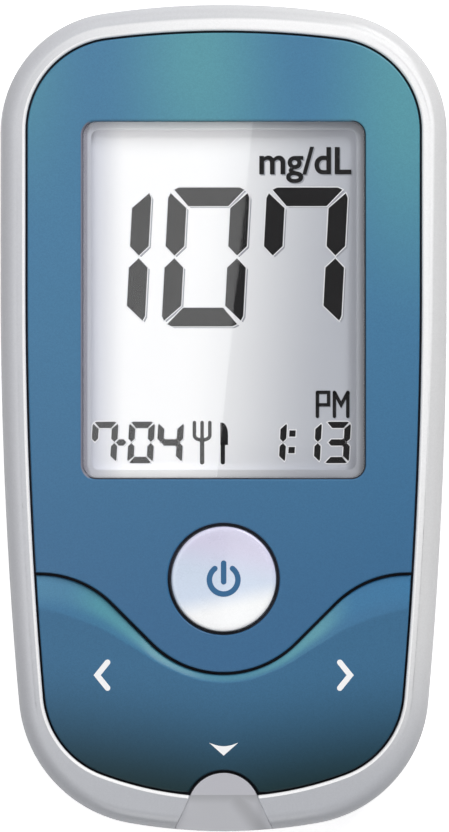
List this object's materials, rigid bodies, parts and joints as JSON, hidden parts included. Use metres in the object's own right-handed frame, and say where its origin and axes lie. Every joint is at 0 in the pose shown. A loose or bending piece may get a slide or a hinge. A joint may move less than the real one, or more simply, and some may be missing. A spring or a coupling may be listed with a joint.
{
  "type": "blood glucose meter",
  "caption": "Handheld blood glucose meter: domed oblong case with a large display, a round power button, a scroll key, a test strip slot, a data socket and a hinged battery door.",
  "frame": {"origin": "middle of the case footprint, on the surface the meter lies on", "axes": "lying on its back: +Z leaves the display, +Y points to the top end with the data socket, +X to the right of the display; the strip slot is at the -Y end"},
  "size_m": [0.054, 0.1, 0.0177],
  "materials": {
    "rim_white": "satin pearl",
    "deck_black": "fine texture",
    "plate_blue": "satin pearl",
    "lens_clear": "clear, hard coated",
    "key_blue": "satin pearl",
    "button_pearl": "pearl",
    "display_glass": "polariser film on glass",
    "gasket_foam": "foam",
    "holder_white": "matte",
    "zebra_rubber": "matte",
    "board_green": "solder mask",
    "keypad_grey": "matte",
    "chip_black": "moulded epoxy",
    "capacitor_tan": "ceramic",
    "crystal_steel": "plain",
    "buzzer_black": "moulded",
    "port_grey": "satin",
    "connector_ivory": "moulded",
    "contact_gold": "gold plated",
    "jack_black": "moulded",
    "back_white": "fine texture",
    "cell_steel": "nickel plated",
    "spring_steel": "nickel plated",
    "screw_steel": "zinc plated"
  },
  "bodies": {
    "case": {"front_cover": "rim_white", "chassis": "deck_black", "faceplate": "plate_blue", "window_lens": "lens_clear", "lcd_glass": "display_glass", "lcd_gasket": "gasket_foam", "lcd_holder": "holder_white", "zebra_strip": "zebra_rubber", "main_board": "board_green", "keypad": "keypad_grey", "control_chip": "chip_black", "capacitors": "capacitor_tan", "crystal": "crystal_steel", "buzzer": "buzzer_black", "strip_port": "port_grey", "strip_connector": "connector_ivory", "strip_contacts": "contact_gold", "data_jack": "jack_black", "rear_cover": "back_white", "coin_cell": "cell_steel", "negative_contact": "spring_steel", "positive_contact": "spring_steel", "case_screw": "screw_steel"},
    "power_button": {"power_button": "button_pearl"},
    "scroll_key": {"scroll_key": "key_blue"},
    "battery_door": {"battery_door": "back_white", "door_latch": "back_white"}
  },
  "joints": [
    {"name": "power_press", "type": "slide", "parent": "case", "child": "power_button", "axis": [0, 0, -1], "range_m": [0, 0.0006], "stiffness_N_per_m": 400, "springref_m": -0.0005, "deforming": ["keypad"]},
    {"name": "scroll_rock", "type": "hinge", "parent": "case", "child": "scroll_key", "pos_m": [0, -0.0363, 0.0133], "axis": [0, 1, 0], "range_deg": [-2, 2], "stiffness_Nm_per_rad": 0.6, "deforming": ["keypad"]},
    {"name": "battery_door_hinge", "type": "hinge", "parent": "case", "child": "battery_door", "pos_m": [0, 0.025, 0.00135], "axis": [1, 0, 0], "range_deg": [0, 70], "deforming": ["door_latch"]}
  ]
}
